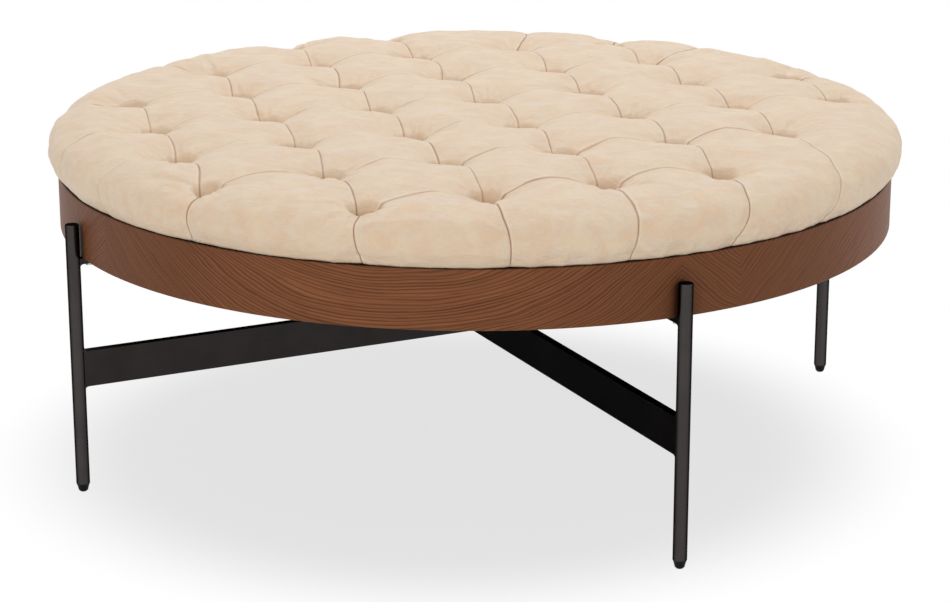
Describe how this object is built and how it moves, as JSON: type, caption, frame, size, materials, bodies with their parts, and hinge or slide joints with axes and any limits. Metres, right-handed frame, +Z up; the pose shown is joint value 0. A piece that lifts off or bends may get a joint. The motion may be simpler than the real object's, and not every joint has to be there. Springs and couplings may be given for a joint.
{
  "type": "ottoman coffee table",
  "caption": "Round ottoman coffee table: a tufted leather cushion set in a bent-wood ring, on slim tube legs joined by a crossed flat-bar stretcher, with levelling glides.",
  "frame": {"origin": "on the floor, on the table's vertical axis", "axes": "+Z up, +X to the right leg and +Y to the back leg of the crossed base"},
  "size_m": [1.231, 1.231, 0.505],
  "materials": {
    "leather": "soft semi-aniline leather, pale cream with a faint mottle and a low sheen",
    "fibre_fill": "bonded polyester fibre",
    "foam": "open-cell seat foam",
    "twine": "waxed tufting twine",
    "plywood": "unfinished plywood",
    "dust_cloth": "black spun-bonded cloth",
    "ring_wood": "red-brown stained wood, satin",
    "block_wood": "unfinished hardwood",
    "beech": "unfinished beech",
    "dark_steel": "dark gunmetal, satin",
    "black_nylon": "moulded black nylon",
    "zinc": "zinc-plated steel"
  },
  "bodies": {
    "table": {"leather_cover": "leather", "batting": "fibre_fill", "foam_pad": "foam", "tuft_buttons": "leather", "button_ties": "twine", "seat_deck": "plywood", "dust_cover": "dust_cloth", "apron_tenons": "beech", "tab_screws": "zinc", "block_screws": "zinc", "deck_screws": "zinc", "hem_staples": "zinc", "dust_cover_staples": "zinc", "weld_beads": "dark_steel", "stretcher_long": "dark_steel", "stretcher_half_front": "dark_steel", "stretcher_half_back": "dark_steel", "apron_segment_1": "ring_wood", "rim_cleat_1": "block_wood", "apron_segment_2": "ring_wood", "rim_cleat_2": "block_wood", "apron_segment_3": "ring_wood", "rim_cleat_3": "block_wood", "apron_segment_4": "ring_wood", "rim_cleat_4": "block_wood", "leg_right": "dark_steel", "leg_cap_right": "dark_steel", "seat_tab_right": "dark_steel", "leg_block_right": "block_wood", "leg_insert_right": "black_nylon", "leg_back": "dark_steel", "leg_cap_back": "dark_steel", "seat_tab_back": "dark_steel", "leg_block_back": "block_wood", "leg_insert_back": "black_nylon", "leg_left": "dark_steel", "leg_cap_left": "dark_steel", "seat_tab_left": "dark_steel", "leg_block_left": "block_wood", "leg_insert_left": "black_nylon", "leg_front": "dark_steel", "leg_cap_front": "dark_steel", "seat_tab_front": "dark_steel", "leg_block_front": "block_wood", "leg_insert_front": "black_nylon"},
    "glide_right": {"glide_foot_right": "black_nylon", "glide_stud_right": "zinc"},
    "glide_back": {"glide_foot_back": "black_nylon", "glide_stud_back": "zinc"},
    "glide_left": {"glide_foot_left": "black_nylon", "glide_stud_left": "zinc"},
    "glide_front": {"glide_foot_front": "black_nylon", "glide_stud_front": "zinc"}
  },
  "joints": [
    {"name": "level_right", "type": "slide", "parent": "table", "child": "glide_right", "axis": [0, 0, -1], "range_m": [0, 0.01]},
    {"name": "level_back", "type": "slide", "parent": "table", "child": "glide_back", "axis": [0, 0, -1], "range_m": [0, 0.01]},
    {"name": "level_left", "type": "slide", "parent": "table", "child": "glide_left", "axis": [0, 0, -1], "range_m": [0, 0.01]},
    {"name": "level_front", "type": "slide", "parent": "table", "child": "glide_front", "axis": [0, 0, -1], "range_m": [0, 0.01]}
  ]
}
